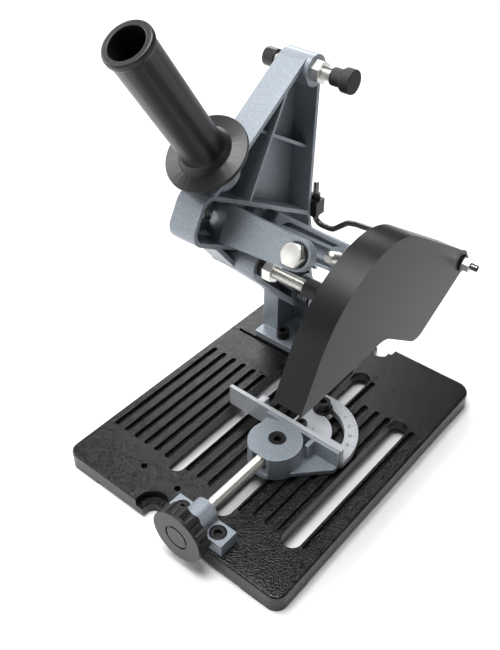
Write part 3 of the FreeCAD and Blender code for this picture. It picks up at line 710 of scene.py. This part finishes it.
coil_low, coil_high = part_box("return_spring")
coil_middle = (coil_low + coil_high) / 2
wire_radius = 1.15 * MM
spring_sizes = {
    "Coil Radius": (coil_high.z - coil_low.z) / 2 - wire_radius, "Wire Radius": wire_radius,
    "Width": coil_high.x - coil_low.x - 2 * wire_radius, "Turns": 5.25, "Leg": 22 * MM, "Points": 190,
    "Material": finishes["spring_steel"]}
coil = grown(spring_tree(), spring_sizes)
coil.transform(Matrix.Translation((coil_low.x + wire_radius, coil_middle.y, coil_middle.z)))
spring = finish_piece("return_spring_coil", coil, "return_spring", smooth=SOFT_CORNER, rides=False)
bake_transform(spring)
print("spring", len(coil.polygons), "faces")

# %% [markdown]
# The fence turns through 45 degrees against a scale on its quadrant. The ticks are one
# bar instanced round the arc, longer at every third place, and the numerals are plain
# generic digits, all standing a few hundredths of a millimetre proud in dark ink.

# %% Angle scale
def scale_tree():
    inputs = {"Radius": float, "First": float, "Step": float, "Count": int, "Length": float,
              "Width": float, "Height": float, "Material": "material"}
    group, tree, given = new_node_group("angle_scale", inputs)
    line = tree.add("GeometryNodeMeshLine", {}, {"Count": given["Count"]})
    index = tree.add("GeometryNodeInputIndex")
    angle = given["First"] + index * given["Step"]
    long_one = (index.of("MODULO", 3.0)).of("LESS_THAN", 0.5)
    reach_in = given["Radius"] - given["Length"] * (0.5 + long_one * 0.35)
    place = tree.add("ShaderNodeCombineXYZ", {}, {
        0: reach_in * angle.of("COSINE"), 1: reach_in * angle.of("SINE")})
    spots = tree.add("GeometryNodeSetPosition", {}, {"Geometry": line, "Position": place})
    bar_size = tree.add("ShaderNodeCombineXYZ", {}, {
        0: given["Length"], 1: given["Width"], 2: given["Height"]})
    tick = tree.add("GeometryNodeMeshCube", {}, {"Size": bar_size})
    facing = tree.add("FunctionNodeEulerToRotation", {}, {
        0: tree.add("ShaderNodeCombineXYZ", {}, {2: angle})})
    stretch = tree.add("ShaderNodeCombineXYZ", {}, {0: 1.0 + long_one * 0.7, 1: 1.0, 2: 1.0})
    ticks = tree.add("GeometryNodeInstanceOnPoints", {}, {
        "Points": spots, "Instance": tick, "Rotation": facing, "Scale": stretch})
    close_group(group, tree, ticks, given["Material"])
    return group


def digits(text, size, centre, angle, lift):
    curve = bpy.data.curves.new("digits", "FONT")
    curve.body = text
    curve.size = size
    curve.extrude = 0.04 * MM
    curve.align_x = "CENTER"
    curve.align_y = "CENTER"
    maker = bpy.data.objects.new("maker", curve)
    bpy.context.scene.collection.objects.link(maker)
    mesh = evaluated_mesh(maker)
    mesh.transform(Matrix.Translation((centre.x, centre.y, lift)) @ Matrix.Rotation(angle, 4, "Z"))
    return mesh


pivot_low, pivot_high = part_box("fence_pivot_screw")
fence_low, fence_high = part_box("fence")
centre = (pivot_low + pivot_high) / 2
rim_radius = fence_high.y - centre.y
scale_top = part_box("fence_lock_washer")[0].z + 0.03 * MM
tick_sizes = {
    "Radius": rim_radius - 1.0 * MM, "First": math.radians(15.0), "Step": math.radians(5.0),
    "Count": 12, "Length": 1.9 * MM, "Width": 0.28 * MM, "Height": 0.08 * MM, "Material": scale_ink}
DIGIT_SIZE = 3.9 * MM
DIGIT_INSET = 7.2 * MM
marks = [grown(scale_tree(), tick_sizes)]
marks[0].transform(Matrix.Translation((centre.x, centre.y, scale_top)))
for label, degrees in (("0", 60.0), ("15", 45.0), ("30", 30.0), ("45", 15.0)):
    heading = math.radians(degrees)
    outward = Vector((math.cos(heading), math.sin(heading), 0))
    spot = centre + outward * (rim_radius - DIGIT_INSET)
    marks.append(digits(label, DIGIT_SIZE, spot, heading - math.pi / 2, scale_top))
finish_piece("angle_scale", joined("angle_scale", marks), "fence", scale_ink, stands_for=False)
print("scale radius", round(rim_radius / MM, 1), "mm")
